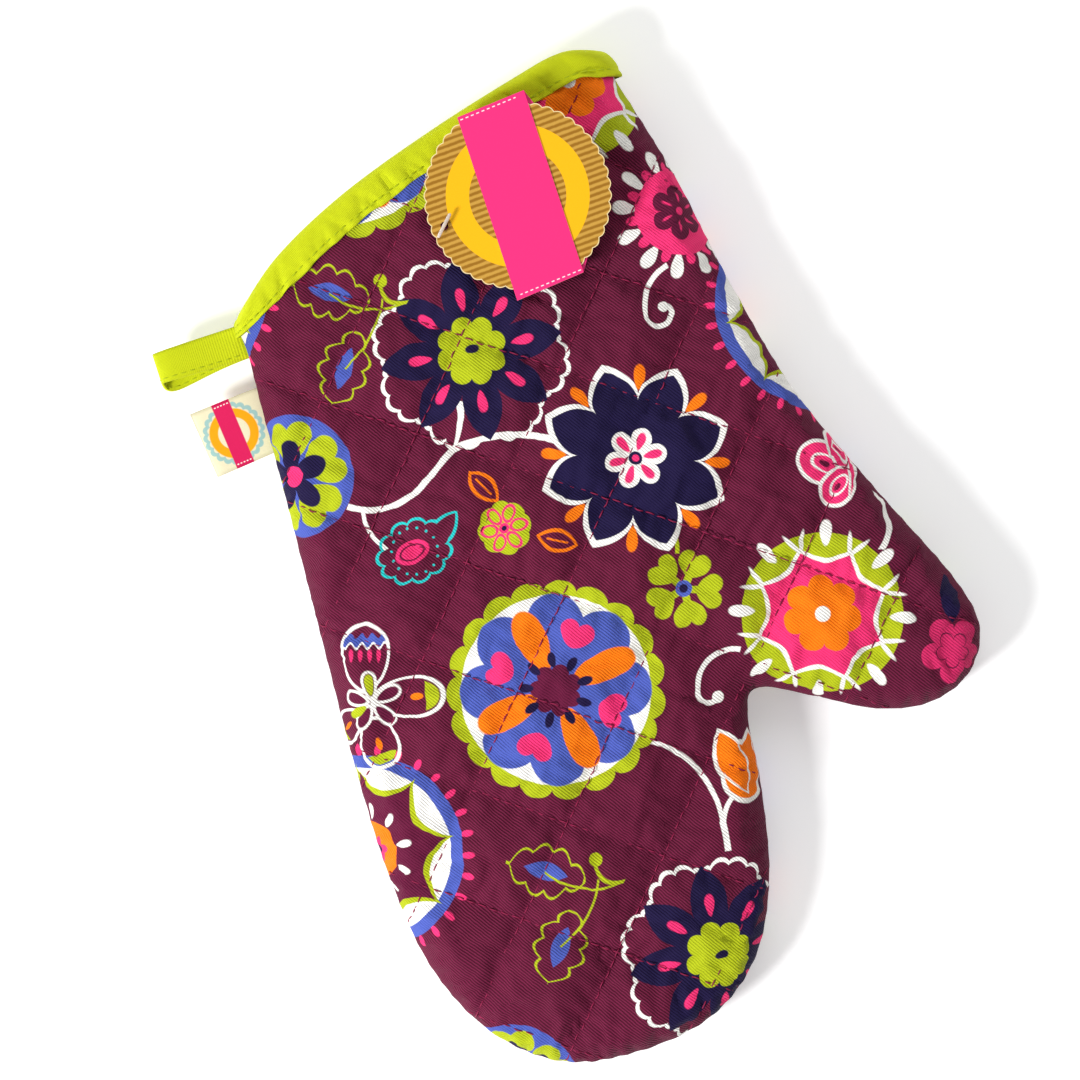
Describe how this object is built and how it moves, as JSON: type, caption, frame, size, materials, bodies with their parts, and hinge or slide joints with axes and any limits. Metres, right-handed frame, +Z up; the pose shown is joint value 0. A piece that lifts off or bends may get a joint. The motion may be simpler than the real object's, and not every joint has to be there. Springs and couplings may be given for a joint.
{
  "type": "oven mitt",
  "caption": "Quilted cotton oven mitt with a thumb, a bound cuff, a hanging loop, a side label and a swing tag, lying flat on its back panel.",
  "frame": {"origin": "bottom centre of the whole part, on the plane that the back panel rests on", "axes": "+Z up out of the front panel, fingertips towards -Y and cuff towards +Y, thumb towards +X"},
  "size_m": [0.281, 0.3698, 0.041],
  "materials": {
    "plum_cotton": "printed cotton twill",
    "wadding_white": "needled polyester wadding",
    "lining_cotton": "plain woven cotton",
    "plum_thread": "sewing thread",
    "lime_tape": "folded cotton tape",
    "lime_thread": "sewing thread",
    "label_cream": "printed satin tape",
    "tag_card": "printed card, matte",
    "clear_nylon": "translucent moulded nylon"
  },
  "bodies": {
    "mitt": {"front_outer_fabric": "plum_cotton", "back_outer_fabric": "plum_cotton", "front_wadding": "wadding_white", "back_wadding": "wadding_white", "front_lining": "lining_cotton", "back_lining": "lining_cotton", "front_quilting_thread": "plum_thread", "back_quilting_thread": "plum_thread", "side_seam_thread": "plum_thread", "cuff_binding": "lime_tape", "binding_stitching": "lime_thread"},
    "loop": {"hanging_loop": "lime_tape", "loop_stitching": "lime_thread"},
    "label": {"side_label": "label_cream"},
    "fastener": {"tag_fastener": "clear_nylon"},
    "tag": {"swing_tag": "tag_card"}
  },
  "joints": [
    {"name": "loop_flap", "type": "hinge", "parent": "mitt", "child": "loop", "pos_m": [-0.1114, 0.1044, 0.013], "axis": [-0.0872, 0.9962, 0], "range_deg": [-15, 80]},
    {"name": "label_flap", "type": "hinge", "parent": "mitt", "child": "label", "pos_m": [-0.1078, 0.0745, 0.013], "axis": [-0.0698, 0.9976, 0], "range_deg": [-25, 80]},
    {"name": "fastener_swivel", "type": "hinge", "parent": "mitt", "child": "fastener", "pos_m": [-0.0245, 0.1299, 0.0335], "axis": [0, 0, 1], "continuous": true},
    {"name": "tag_lift", "type": "hinge", "parent": "fastener", "child": "tag", "pos_m": [-0.0245, 0.1299, 0.0373], "axis": [0.1855, -0.9826, 0], "range_deg": [0, 25]}
  ]
}
